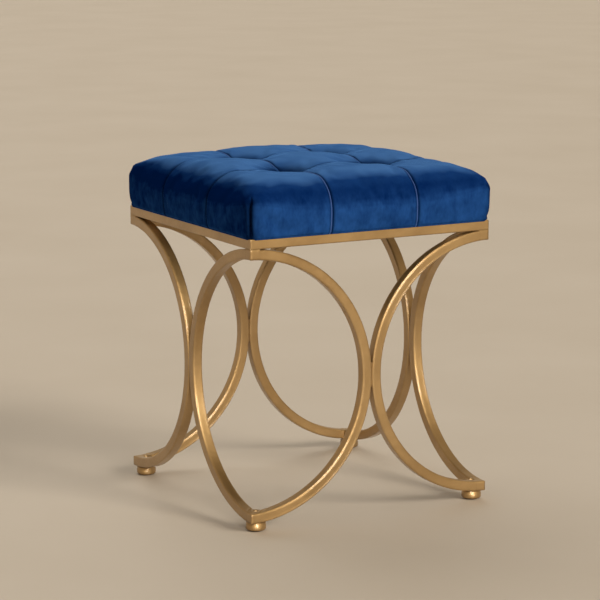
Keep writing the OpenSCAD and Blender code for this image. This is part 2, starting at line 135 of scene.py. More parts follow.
def ground_flat(tree, rounded, radius):
    """The rounded normal without the turn at the ends of the arms of a corner block, where
    the half rings are welded on and ground flush: there it keeps the mesh's own turn."""
    place = put(tree, "TexCoord").outputs["Object"]
    inward = put(tree, "VectorMath", {0: place}, operation="ABSOLUTE").outputs["Vector"]
    inward = put(tree, "SeparateXYZ", {0: inward}).outputs
    aside = put(tree, "Math", {0: inward["Y"], 1: inward["X"]}, operation="SUBTRACT").outputs[0]
    from_edge = put(tree, "Math", {0: aside}, operation="ABSOLUTE").outputs[0]
    from_joint = put(tree, "Math", {0: from_edge, 1: ARM_LENGTH}, operation="SUBTRACT").outputs[0]
    from_joint = put(tree, "Math", {0: from_joint}, operation="ABSOLUTE").outputs[0]
    joint = spread(tree, from_joint, 1.5 * radius, 1.8 * radius, 1.0, 0.0)
    front = put(tree, "Math", {0: aside, 1: 0.0}, operation="GREATER_THAN").outputs[0]
    along_x = put(tree, "Math", {0: joint, 1: front}, operation="MULTIPLY").outputs[0]
    along_y = put(tree, "Math", {0: joint, 1: along_x}, operation="SUBTRACT").outputs[0]
    along = put(tree, "CombineXYZ", {"X": along_x, "Y": along_y}).outputs["Vector"]
    own = put(tree, "NewGeometry").outputs["Normal"]
    sockets = {"Factor": along, "A": rounded, "B": own}
    turned_back = put(tree, "Mix", sockets, data_type="VECTOR", factor_mode="NON_UNIFORM")
    turned_back = turned_back.outputs["Result"]
    return put(tree, "VectorMath", {0: turned_back}, operation="NORMALIZE").outputs["Vector"]


def gold_paint(name, radius):
    """Satin gold spray paint on steel, with edges that look rounded by that radius."""
    material, tree, shader = finish_named(name)
    patches = spread(tree, cloud(tree, 16, 3), 0.35, 0.65)
    tree.links.new(mix(tree, patches, GOLD_DEEP, GOLD_LIGHT), shader.inputs["Base Color"])
    speckle = spread(tree, cloud(tree, 240, 3), 0.3, 0.7, 0.43, 0.52)
    tree.links.new(speckle, shader.inputs["Roughness"])
    rounded = put(tree, "Bevel", {"Radius": radius}, samples=6).outputs["Normal"]
    rounded = ground_flat(tree, rounded, radius)
    ripple = relief(tree, cloud(tree, 90, 2), PAINT_RIPPLE, rounded)
    grain = relief(tree, cloud(tree, 1500, 2), PAINT_GRAIN, ripple)
    tree.links.new(grain, shader.inputs["Normal"])
    tree.links.new(rounded, shader.inputs["Coat Normal"])
    shader.inputs["Metallic"].default_value = 0.92
    shader.inputs["Coat Weight"].default_value = 1.0
    shader.inputs["Coat Roughness"].default_value = 0.20
    return material


def finish(names, material):
    """Gives every CAD node whose name starts with one of names that material."""
    for name, piece in pieces.items():
        if name.startswith(names):
            for holder in piece.material_slots:
                holder.material = material


gold = gold_paint("gold_paint", ARC_ROUND)
finish(FRAME_NODES, gold)
finish(("rail_",), gold_paint("gold_paint_rails", RAIL_ROUND))

# Levelling glides: a turned foot with the frame's gold finish, and under it a black rubber
# sole that is pressed in. The foot hangs on the head of the threaded stud.
finish(("glide_foot_",), gold)


def sole_rubber():
    """Black rubber, slightly dusty."""
    material, tree, shader = finish_named("sole_rubber_black")
    dust = spread(tree, cloud(tree, 300, 3), 0.4, 0.7)
    colour = mix(tree, dust, (0.012, 0.010, 0.009, 1), (0.035, 0.030, 0.026, 1))
    tree.links.new(colour, shader.inputs["Base Color"])
    tree.links.new(relief(tree, cloud(tree, 900, 2), 0.00008), shader.inputs["Normal"])
    shader.inputs["Roughness"].default_value = 0.8
    return material


finish(("glide_sole_",), sole_rubber())

# Glide studs: M8 steel, plated with black zinc, with a round head that the foot turns on, a
# rolled thread of 1.25 mm pitch that screws into the corner block, and a screwdriver slot.
THREAD_PITCH = 0.00125
THREAD_DEPTH = 0.00062
THREAD_STEPS = 8
ROOT_SHARE = 0.12
FLANK_SHARE = 0.5
THREAD_START = 0.0002
THREAD_STOP = 0.0012
END_BEVEL = (0.0008, 0.0010)
STUD_HEAD_D = 0.013
STUD_HEAD_H = 0.0034
STUD_HEAD_BEVEL = 0.0005
STUD_D = 0.008
SLOT_W = 0.0013
SLOT_DEPTH = 0.0026
ROUND_STEPS = 32


def plated(name, dark, light):
    """Plated steel, faintly cloudy between two colours."""
    material, tree, shader = finish_named(name)
    haze = spread(tree, cloud(tree, 220, 3), 0.3, 0.7)
    tree.links.new(mix(tree, haze, dark, light), shader.inputs["Base Color"])
    roughness = spread(tree, cloud(tree, 600, 2), 0.3, 0.7, 0.28, 0.42)
    tree.links.new(roughness, shader.inputs["Roughness"])
    tree.links.new(relief(tree, cloud(tree, 1800, 1), 0.00001), shader.inputs["Normal"])
    shader.inputs["Metallic"].default_value = 1.0
    return material


def add_piece(name, points, faces, material, smooth=True):
    """A new mesh object with one material."""
    mesh = bpy.data.meshes.new(name)
    mesh.from_pydata([tuple(p) for p in points], [], [tuple(f) for f in faces])
    mesh.update()
    mesh.materials.append(material)
    mesh.polygons.foreach_set("use_smooth", [smooth] * len(mesh.polygons))
    piece = bpy.data.objects.new(name, mesh)
    bpy.context.collection.objects.link(piece)
    return piece


def turned(rings):
    """Points and faces of a closed turned form. rings is a list of (radii, heights)."""
    points, faces = [], []
    turns = 2 * math.pi * np.arange(ROUND_STEPS) / ROUND_STEPS
    for radii, heights in rings:
        radii = np.broadcast_to(radii, ROUND_STEPS)
        heights = np.broadcast_to(heights, ROUND_STEPS)
        points += list(zip(radii * np.cos(turns), radii * np.sin(turns), heights))
    for r in range(len(rings) - 1):
        for k in range(ROUND_STEPS):
            m = (k + 1) % ROUND_STEPS
            low, high = r * ROUND_STEPS, (r + 1) * ROUND_STEPS
            faces.append((low + k, low + m, high + m, high + k))
    top = (len(rings) - 1) * ROUND_STEPS
    faces.append(tuple(range(ROUND_STEPS - 1, -1, -1)))
    faces.append(tuple(range(top, top + ROUND_STEPS)))
    return points, faces


def box_form(low, high):
    """Points and faces of a box between two corners."""
    (x0, y0, z0), (x1, y1, z1) = low, high
    points = [(x, y, z) for x in (x0, x1) for y in (y0, y1) for z in (z0, z1)]
    faces = [(0, 1, 3, 2), (4, 6, 7, 5), (0, 4, 5, 1), (2, 3, 7, 6), (0, 2, 6, 4), (1, 5, 7, 3)]
    return np.array(points), faces


def cut_out(piece, points, faces):
    """Takes a closed form out of a piece."""
    cutter = add_piece("cutter", points, faces, piece.data.materials[0], False)
    carve = piece.modifiers.new("cut", "BOOLEAN")
    carve.operation = "DIFFERENCE"
    carve.solver = "EXACT"
    carve.object = cutter
    shaped = piece.evaluated_get(bpy.context.evaluated_depsgraph_get())
    piece.data = bpy.data.meshes.new_from_object(shaped)
    piece.modifiers.clear()
    bpy.data.objects.remove(cutter)


def stud_form(length):
    """Head and threaded shank, from the foot of the head upwards."""
    head_r, bevel = STUD_HEAD_D / 2, STUD_HEAD_BEVEL
    root_r = STUD_D / 2 - THREAD_DEPTH
    rings = [
        (head_r - bevel, 0),
        (head_r, bevel),
        (head_r, STUD_HEAD_H - bevel),
        (head_r - bevel, STUD_HEAD_H),
        (root_r, STUD_HEAD_H),
    ]
    shares = np.arange(ROUND_STEPS) / ROUND_STEPS
    first, last = STUD_HEAD_H + THREAD_START, length - THREAD_STOP
    for height in np.arange(first, last, THREAD_PITCH / THREAD_STEPS):
        wave = 1 - 2 * np.abs((height / THREAD_PITCH - shares) % 1 - 0.5)
        flank = np.clip((wave - ROOT_SHARE) / FLANK_SHARE, 0, 1)
        rings.append((root_r + THREAD_DEPTH * flank, height))
    rings.append((root_r, length - END_BEVEL[1]))
    rings.append((root_r - END_BEVEL[0], length))
    return turned(rings)


black_zinc = plated("black_zinc", (0.030, 0.026, 0.022, 1), (0.060, 0.052, 0.044, 1))
for corner in ("front_left", "front_right", "back_right", "back_left"):
    low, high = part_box("glide_stud_" + corner)
    points, faces = stud_form(high[2] - low[2])
    centre = np.array([(low[0] + high[0]) / 2, (low[1] + high[1]) / 2, low[2]])
    stud = add_piece("threaded_stud_" + corner, np.array(points) + centre, faces, black_zinc)
    slot_low = (centre[0] - STUD_D, centre[1] - SLOT_W / 2, high[2] - SLOT_DEPTH)
    slot_high = (centre[0] + STUD_D, centre[1] + SLOT_W / 2, high[2] + SLOT_DEPTH)
    cut_out(stud, *box_form(slot_low, slot_high))
    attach(stud, "stud_" + corner)
    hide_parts("glide_stud_" + corner)

# Seat fixings: zinc plated bolts go up through the brackets, with a washer each, into tee
# nuts in the board.
zinc = plated("zinc_plate", (0.50, 0.50, 0.49, 1), (0.66, 0.66, 0.64, 1))
finish(("seat_bolts", "bolt_washers", "tee_nuts"), zinc)

# Seat board: 12 mm plywood of nine plies, which everything soft is stapled to. Its edge
# shows the plies as light and dark stripes.
PLY_THICKNESS = 0.012 / 9


def plywood():
    """Birch plywood: long grain on the faces and stripes of plies at the edges."""
    material, tree, shader = finish_named("birch_plywood")
    grain = spread(tree, cloud(tree, 30, 6, (1, 14, 1)), 0.35, 0.7)
    face = mix(tree, grain, (0.50, 0.33, 0.18, 1), (0.66, 0.48, 0.29, 1))
    place = put(tree, "TexCoord").outputs["Object"]
    height = put(tree, "SeparateXYZ", {0: place}).outputs["Z"]
    wave = put(tree, "Math", {0: height, 1: math.pi / PLY_THICKNESS}, operation="MULTIPLY")
    stripe = put(tree, "Math", {0: wave.outputs[0]}, operation="SINE").outputs[0]
    edge = mix(tree, spread(tree, stripe, -0.3, 0.3), (0.30, 0.18, 0.09, 1), face)
    tree.links.new(edge, shader.inputs["Base Color"])
    tree.links.new(relief(tree, grain, 0.0001), shader.inputs["Normal"])
    shader.inputs["Roughness"].default_value = 0.7
    return material


finish(("seat_board",), plywood())


# Tuft ties: waxed ivory twine goes from each tuft through the foam and the board to a disc of
# pressed fibre under it, where it is knotted. Both stay out of sight.
def fibre(name, light, dark, scale):
    """A matt fibrous finish between two colours."""
    material, tree, shader = finish_named(name)
    strands = spread(tree, cloud(tree, scale, 4), 0.35, 0.65)
    tree.links.new(mix(tree, strands, dark, light), shader.inputs["Base Color"])
    tree.links.new(relief(tree, strands, 0.0001), shader.inputs["Normal"])
    shader.inputs["Roughness"].default_value = 0.85
    return material


finish(("tuft_twine",), fibre("waxed_twine", (0.75, 0.70, 0.58, 1), (0.55, 0.50, 0.38, 1), 900))
finish(("tuft_discs",), fibre("pressed_fibre", (0.32, 0.20, 0.11, 1), (0.20, 0.12, 0.06, 1), 500))

# Cushion: foam under one piece of royal blue velvet, sewn into three by three panels with
# four pulled tufts, drawn down over the board and stapled under it. Each seam is a thin
# pinched fold with a groove on both sides; down each corner the cloth is folded into a pleat.
# The form is that of the CAD, and a cloth simulation presses it out between the seams.
SEAM = 0.072
CUSHION_TOP = 0.5134
HEM_Z = 0.428
BOARD_UNDER = 0.4294
BOARD_TOP = 0.4414
SEAT_HALF = 0.206
BASE_HALF = 0.2008
SHOULDER_W = 0.054
SHOULDER_H = 0.050
SHOULDER_POWER = 2 / 2.05
FLAT_HALF = SEAT_HALF - SHOULDER_W
CORNER_R = 0.012
CORNER_SOFT = 0.034
CORNER_EASE = 0.36
CORNER_EASE_REACH = 0.045
CROWN_DROP = 0.004
CORNER_DROP = 0.006
SEAM_DEPTH = 0.0070
SEAM_SHALLOW = 0.0016
SEAM_FADE = 0.040
SEAM_REACH = 0.016
SEAM_POWER = 1.3
BOWL_DEPTH = 0.0090
BOWL_REACH = 0.040
TUFT_DEPTH = 0.0100
TUFT_REACH = 0.018
TUFT_POWER = 1.25
COVER_T = 0.0014
HEM_W = 0.030
PRESSURE = 4.5
SHRINK = -0.007
CLOTH_FRAMES = 20


def graded(start, end, first, growth, most):
    """Positions from start to end, with steps that grow from first up to most."""
    steps, step = [0.0], first
    while steps[-1] < abs(end - start):
        steps.append(steps[-1] + step)
        step = min(step * growth, most)
    places = np.array(steps) * abs(end - start) / steps[-1]
    return start + math.copysign(1, end - start) * places


def panel_lines(first, growth, most, corner_first):
    """Positions across the cushion's flat top, finest at the seams and the corners."""
    middle = graded(SEAM, 0, first, growth, most)
    outer_middle = (SEAM + FLAT_HALF) / 2
    outer = graded(SEAM, outer_middle, first, growth, most)
    corner = graded(FLAT_HALF, outer_middle, corner_first, min(growth, 1.07), most)[::-1]
    right = np.concatenate([middle[::-1], outer[1:], corner[1:]])
    return np.concatenate([-right[:0:-1], right])


def near(distance, reach, power):
    """1 at no distance, falling off over that reach."""
    return np.exp(-((np.abs(distance) / reach) ** power))


def seam_depth(along):
    """Depth of a seam's valley: deep beside the tufts and shallow between and beyond them."""
    return SEAM_SHALLOW + (SEAM_DEPTH - SEAM_SHALLOW) * near(along, SEAM_FADE, 2)


def top_height(x, y):
    """Height of the cushion's top over the plan."""
    across, along = np.abs(x) - SEAM, np.abs(y) - SEAM
    corner = (np.abs(x * y) / FLAT_HALF**2) ** 4
    crown = CROWN_DROP * (x**2 + y**2) / (2 * FLAT_HALF**2) + CORNER_DROP * corner
    seams = np.maximum(
        seam_depth(along) * near(across, SEAM_REACH, SEAM_POWER),
        seam_depth(across) * near(along, SEAM_REACH, SEAM_POWER),
    )
    from_tuft = np.hypot(across, along)
    bowl = BOWL_DEPTH * near(from_tuft, BOWL_REACH, 2)
    tuft = TUFT_DEPTH * near(from_tuft, TUFT_REACH, TUFT_POWER)
    return CUSHION_TOP - crown - seams - bowl - tuft


def round_the_edge(field):
    """The values on the edge of a grid, once round, anticlockwise from the front left."""
    return np.concatenate([field[:-1, 0], field[-1, :-1], field[:0:-1, -1], field[0, :0:-1]])


def widened(v, half):
    """Moves a position of the flat top out to a ring of that half width; the middle stays."""
    outer = SEAM + (np.abs(v) - SEAM) * (half - SEAM) / (FLAT_HALF - SEAM)
    return np.where(np.abs(v) <= SEAM, v, np.sign(v) * outer)


def rounded_corner(x, y, half, radius):
    """Rounds the corners of square rings of points of that half width."""
    core = half - radius
    over_x, over_y = np.abs(x) - core, np.abs(y) - core
    at_corner = (over_x > 0) & (over_y > 0)
    reach = np.where(at_corner, np.hypot(over_x, over_y), 1)
    round_x = np.sign(x) * (core + over_x * radius / reach)
    round_y = np.sign(y) * (core + over_y * radius / reach)
    return np.where(at_corner, round_x, x), np.where(at_corner, round_y, y)


def cover_skin(lines, turns, shares):
    """The cover's outer form: the top as a grid of points, and the sides as rings of points.
    lines are positions across the top, turns the rings over the shoulder, shares those below."""
    x, y = np.meshgrid(lines, lines, indexing="ij")
    ring_half = np.maximum(np.abs(x), np.abs(y))
    radius = CORNER_SOFT * np.clip((ring_half - SEAM) / (FLAT_HALF - SEAM), 0, 1)
    soft_x, soft_y = rounded_corner(x, y, ring_half, radius)
    top = np.stack([soft_x, soft_y, top_height(soft_x, soft_y)], axis=-1)
    edge_x, edge_y, rim = (round_the_edge(field) for field in (x, y, top[..., 2]))
    corner = near(np.abs(edge_x) - np.abs(edge_y), CORNER_EASE_REACH, 2)
    drop = SHOULDER_H * (1 - CORNER_EASE * corner)
    rings = []
    for turn in turns:
        half = FLAT_HALF + SHOULDER_W * math.sin(turn) ** SHOULDER_POWER
        fall = 1 - abs(math.cos(turn)) ** SHOULDER_POWER
        rings.append((half, CORNER_SOFT + (CORNER_R - CORNER_SOFT) * fall, rim - drop * fall))
    for share in shares:
        half = BASE_HALF + (SEAT_HALF - BASE_HALF) * math.sqrt(max(0, 1 - share**4))
        rings.append((half, CORNER_R, (rim - drop) * (1 - share) + HEM_Z * share))
    sides = []
    for half, radius, heights in rings:
        wide_x, wide_y = widened(edge_x, half), widened(edge_y, half)
        ring_x, ring_y = rounded_corner(wide_x, wide_y, half, radius)
        sides.append(np.stack([ring_x, ring_y, heights], axis=-1))
    return top, np.array(sides)


def skin_faces(count, rings):
    """Faces of a top grid of count by count points and the rings of points round it."""
    numbers = np.arange(count * count).reshape(count, count)
    a, b = numbers[:-1, :-1].ravel(), numbers[1:, :-1].ravel()
    c, d = numbers[1:, 1:].ravel(), numbers[:-1, 1:].ravel()
    faces = np.stack([a, b, c, d], axis=1).tolist()
    upper = round_the_edge(numbers)
    around = 4 * (count - 1)
    for ring in range(rings):
        lower = count * count + ring * around + np.arange(around)
        band = [np.roll(upper, -1), upper, lower, np.roll(lower, -1)]
        faces += np.stack(band, axis=1).tolist()
        upper = lower
    return faces


def spline_weights(places, at):
    """Weights that carry values at places over to other positions along a smooth curve."""
    index = np.interp(at, places, np.arange(len(places)))
    base = np.clip(np.floor(index).astype(int), 0, len(places) - 2)
    t = index - base
    parts = [
        -0.5 * t + t**2 - 0.5 * t**3,
        1 - 2.5 * t**2 + 1.5 * t**3,
        0.5 * t + 2 * t**2 - 1.5 * t**3,
        -0.5 * t**2 + 0.5 * t**3,
    ]
    weights = np.zeros((len(at), len(places)))
    rows = np.arange(len(at))
    for offset, part in zip((-1, 0, 1, 2), parts):
        np.add.at(weights, (rows, np.clip(base + offset, 0, len(places) - 1)), part)
    return weights


cloth_lines = panel_lines(0.0062, 1.0, 0.0062, 0.0062)
cloth_turns = np.radians([12, 24, 36, 48, 60, 75, 90])
cloth_shares = np.array([0.17, 0.34, 0.5, 0.66, 0.8, 0.92, 1.0])
fine_lines = panel_lines(0.0005, 1.15, 0.0042, 0.0005)
fine_turns = np.radians(np.linspace(5, 90, 18))
fine_shares = np.concatenate([np.linspace(0.08, 0.86, 11), [0.92, 0.96, 0.98, 0.993, 1.0]])


def inflated(lines, turns, shares):
    """How far the cloth moves when the filling presses it out between its seams: one shift for
    each point of cover_skin's grid and rings, from a cloth simulation with the seams held."""
    top, sides = cover_skin(lines, turns, shares)
    count, around = len(lines), 4 * (len(lines) - 1)
    points = np.concatenate([top.reshape(-1, 3), sides.reshape(-1, 3)])
    faces = skin_faces(count, len(sides))
    last = len(points) - around
    faces.append(list(range(last, last + around)))
    # This copy only carries the simulation and is removed, so its finish doesn't matter.
    cloth = add_piece("inflated_cover", points, faces, gold)
    on_seam = np.abs(np.abs(lines) - SEAM) < 1e-6
    held = np.zeros((count, count))
    held[on_seam, :] = 1
    held[:, on_seam] = 1
    seam_rings = []
    for row in range(len(sides)):
        low = row >= len(sides) - 2
        seam_rings.append(np.ones(around) if low else seam_stops(lines, around))
    weights = np.concatenate([held.ravel(), np.concatenate(seam_rings)])
    group = cloth.vertex_groups.new(name="held")
    group.add([int(v) for v in np.nonzero(weights > 0)[0]], 1.0, "REPLACE")
    sim = cloth.modifiers.new("cloth", "CLOTH")
    sim.settings.quality = 8
    sim.settings.mass = 0.25
    sim.settings.tension_stiffness = 30
    sim.settings.compression_stiffness = 30
    sim.settings.shear_stiffness = 8
    sim.settings.bending_stiffness = 3
    sim.settings.use_pressure = True
    sim.settings.uniform_pressure_force = PRESSURE
    sim.settings.shrink_min = SHRINK
    sim.settings.vertex_group_mass = "held"
    sim.settings.effector_weights.gravity = 0
    for step in range(1, CLOTH_FRAMES + 1):
        bpy.context.scene.frame_set(step)
    shaped = cloth.evaluated_get(bpy.context.evaluated_depsgraph_get())
    moved = np.empty(len(points) * 3)
    shaped.data.vertices.foreach_get("co", moved)
    shift = moved.reshape(-1, 3) - points
    bpy.data.objects.remove(cloth)
    bpy.context.scene.frame_set(1)
    on_top = count * count
    return shift[:on_top].reshape(count, count, 3), shift[on_top:].reshape(-1, around, 3)


def seam_stops(lines, around):
    """1 for the points of a ring that lie on a seam."""
    on_seam = (np.abs(np.abs(lines[:-1]) - SEAM) < 1e-6).astype(float)
    return np.tile(on_seam, 4)[:around]


top, sides = cover_skin(fine_lines, fine_turns, fine_shares)
puff_top, puff_sides = inflated(cloth_lines, cloth_turns, cloth_shares)
across = spline_weights(cloth_lines, fine_lines)
top += np.einsum("ai,bj,ijk->abk", across, across, puff_top)
cells = len(cloth_lines) - 1
rows = np.concatenate([round_the_edge(puff_top)[None], puff_sides])
carried = []
for side in range(4):
    part = rows[:, [(side * cells + k) % (4 * cells) for k in range(cells + 1)]]
    carried.append(np.einsum("ai,rik->rak", across, part)[:, :-1])
carried = np.concatenate(carried, axis=1)
cloth_rows = np.concatenate([[0], cloth_turns, math.pi / 2 + cloth_shares])
fine_rows = np.concatenate([fine_turns, math.pi / 2 + fine_shares])
down = spline_weights(cloth_rows, fine_rows)
sides += np.einsum("ar,rik->aik", down, carried)

hem_rings = []
for half, height in (
    (BASE_HALF + 0.0002, HEM_Z - 0.0010),
    (BASE_HALF - 0.0002, HEM_Z - 0.0022),
    (BASE_HALF - 0.0007, HEM_Z - 0.0014),
    (BASE_HALF - 0.0018, HEM_Z - 0.0001),
    (BASE_HALF - 0.004, HEM_Z),
    (BASE_HALF - HEM_W / 2, HEM_Z),
    (BASE_HALF - HEM_W, HEM_Z),
    (BASE_HALF - HEM_W, BOARD_UNDER),
    (BASE_HALF - COVER_T - 0.0003, BOARD_UNDER),
    (BASE_HALF - COVER_T - 0.0003, BOARD_TOP + 0.0003),
):
    ring = sides[-1] * (half / BASE_HALF)
    ring[:, 2] = height
    hem_rings.append(ring)
rings = np.concatenate([sides, np.array(hem_rings)])
count, around = len(fine_lines), 4 * (len(fine_lines) - 1)
points = np.concatenate([top.reshape(-1, 3), rings.reshape(-1, 3), [[0, 0, BOARD_TOP + 0.0003]]])
faces = skin_faces(count, len(rings))
last = len(points) - 1 - around
faces += [(last + (k + 1) % around, last + k, len(points) - 1) for k in range(around)]

# Folds of the cover, laid on the form along its normals: the seams, the pleats down the
# corners, and the slight unevenness of cloth over foam.
SEAM_GROOVE = 0.0018
SEAM_GROOVE_W = 0.0030
GROOVE_SHIFT = 0.0007
SEAM_FOLD = 0.0020
SEAM_FOLD_W = 0.0010
CROSS_FOLD = 0.6
FOLD_STOP = 0.022
PLEAT_DEPTH = 0.0040
PLEAT_W = 0.0026
PLEAT_HOLLOW = 0.0040
PLEAT_HOLLOW_W = 0.0105
PLEAT_TOP = 0.4865
FLAP = 0.0009
EAR = 0.0020
EAR_REACH = 0.0045
FOOT_FOLDS = ((0.0016, 0.014, 0.60, 0.0022), (0.0012, 0.022, 0.90, 0.0024))
FOOT_FOLD_H = 0.014
UNEVEN = 0.0004
UNEVEN_WAVES = 14
UNEVEN_LENGTHS = (0.028, 0.080)


def seam_relief(places):
    """A groove along each seam, deeper on the right, with a thin fold standing up in it."""
    x, y = np.abs(places[:, 0]), np.abs(places[:, 1])
    across, along = np.abs(x - SEAM), np.abs(y - SEAM)
    beside = np.where(places[:, 0] < 0, SEAM - x, x - SEAM)
    groove = near(beside - GROOVE_SHIFT, SEAM_GROOVE_W, 2)
    groove = SEAM_GROOVE * np.maximum(groove, near(along, SEAM_GROOVE_W, 2))
    fold = np.maximum(near(across, SEAM_FOLD_W, 3), CROSS_FOLD * near(along, SEAM_FOLD_W, 3))
    return SEAM_FOLD * fold * (1 - near(np.hypot(across, along), FOLD_STOP, 2)) - groove


def pleat_relief(places):
    """At each corner a vertical pleat with a pointed ear above it, and two small folds that
    run out of its foot over the front or the back."""
    x, y, z = np.abs(places[:, 0]), np.abs(places[:, 1]), places[:, 2]
    aside = (x - y) / math.sqrt(2)
    outside = np.clip((np.minimum(x, y) - 0.16) / 0.02, 0, 1)
    below = np.clip((PLEAT_TOP + 0.003 - z) / 0.007, 0, 1)
    crease = PLEAT_DEPTH * near(aside, PLEAT_W, 1.5)
    crease += PLEAT_HOLLOW * near(aside, PLEAT_HOLLOW_W, 2)
    flap = np.where(aside < 0, FLAP * near(aside + 0.003, 0.004, 2), 0)
    ear = EAR * near(aside, EAR_REACH, 2) * near(z - PLEAT_TOP - 0.001, EAR_REACH, 2)
    up, along = z - HEM_Z, SEAT_HALF - x
    folds = 0
    for height, start, slope, width in FOOT_FOLDS:
        folds = folds + height * near(along - start - slope * up, width, 2)
    folds *= near(up, FOOT_FOLD_H, 2) * (y > x)
    return outside * (below * (flap - crease) + ear + folds)


def unevenness(places):
    """Shallow waves in many directions."""
    chance = np.random.default_rng(11)
    total = np.zeros(len(places))
    for wave in range(UNEVEN_WAVES):
        direction = chance.normal(size=3)
        direction /= np.linalg.norm(direction)
        length = chance.uniform(*UNEVEN_LENGTHS)
        turn = chance.uniform(0, 2 * math.pi)
        total += np.sin(places @ direction * 2 * math.pi / length + turn)
    return UNEVEN * total / math.sqrt(UNEVEN_WAVES / 2)


# Velvet of the cover: short royal blue pile. Its colour has a painted sheen where it lies flat on
# top, painted shade on the shoulder, on the left side and in folds and hollows, and painted
# highlights on the seams' folds.
# Shaded and lit colours of the pile, mixed by painted shade and by the brushed nap.
PILE_SHADED_AND_DARK_NAP = (0.0006, 0.0135, 0.085, 1)
PILE_LIT_AND_LIGHT_NAP = (0.0195, 0.089, 0.302, 1)
# Colour of a painted sheen where the pile faces up.
PILE_PAINTED_SHEEN = (0.062, 0.170, 0.410, 1)
# Colours of the painted shade in grooves, pleats and hollows, and of the painted highlight on the
# seams' folds.
PAINTED_SHADE_IN_FOLDS = (0.0002, 0.0045, 0.026, 1)
PAINTED_HIGHLIGHT_ON_FOLDS = (0.085, 0.150, 0.380, 1)
# Painted shade by how far the pile faces up: darkest on the shoulder, lighter on the sides and on
# top.
PAINTED_FACING_SHADE_STOPS = ((0.12, 0.48), (0.30, 0.20), (0.52, 0.14), (0.76, 0.30), (0.92, 0.56))
PAINTED_FACING_SHADE_ENDS = (0.66, 0.62)
FORM_SHARE = 0.75
PILE_RELIEF = 0.00012
# Painted shade in the tuft hollows.
HOLLOW_FROM = 0.002
HOLLOW_H = 0.009
HOLLOW_REACH = 0.039
HOLLOW_SHADE = 0.93


def painted_fold_shade(places):
    """Painted light and shade of the pile beside a fold: over 1 for a painted highlight on top of
    a seam's fold, where it opens, and under 1 for painted shade in the grooves, the pleats and
    the tufts, most on a tuft's far side."""
    x, y, z = np.abs(places[:, 0]), np.abs(places[:, 1]), places[:, 2]
    across, along = np.abs(x - SEAM), np.abs(y - SEAM)
    beside = np.where(places[:, 0] < 0, SEAM - x, x - SEAM)
    from_tuft = np.hypot(across, along)
    crest_w = 0.9 * SEAM_FOLD_W
    # Painted highlight on the crest of each seam's fold.
    light = np.maximum(near(across, crest_w, 3), 0.25 * near(along, crest_w, 3))
    light *= 1 - near(from_tuft, 0.024, 2)
    # Painted shade along the grooves beside each seam.
    dark = 0.80 * near(beside - 0.0026, 0.0014, 2) + 0.5 * near(beside + 0.0022, 0.0010, 2)
    dark = np.maximum(dark, 0.85 * near(along, SEAM_GROOVE_W, 2))
    # Painted shade in the tuft hollows, strongest on a tuft's far side.
    behind = np.where(places[:, 1] < 0, SEAM - y, y - SEAM)
    hollow = np.clip((CUSHION_TOP - z - HOLLOW_FROM) / HOLLOW_H, 0, 1)
    hollow *= HOLLOW_SHADE * near(from_tuft, HOLLOW_REACH, 3)
    dark = np.maximum(dark, hollow * (0.70 + 0.30 * np.tanh(behind / 0.008)))
    # Painted shade down the corner pleats.
    pleat = near((x - y) / math.sqrt(2), 0.0080, 1.6) * (np.minimum(x, y) > 0.165)
    pleat = 0.93 * pleat * np.clip((PLEAT_TOP - z) / 0.006, 0, 1)
    return np.maximum((1 + light - dark) * (1 - pleat), 0.05)


def form_lean(lines, turns, hidden):
    """How far each point of the plain form faces up, from 1 on top to 0 on the sides."""
    x, y = np.meshgrid(lines, lines, indexing="ij")
    slope_x, slope_y = np.gradient(top_height(x, y), lines, lines)
    flat = 1 / np.sqrt(1 + 2 * (slope_x**2 + slope_y**2))
    around = 4 * (len(lines) - 1)
    return np.concatenate([flat.ravel(), np.repeat(np.cos(turns), around), np.zeros(hidden)])


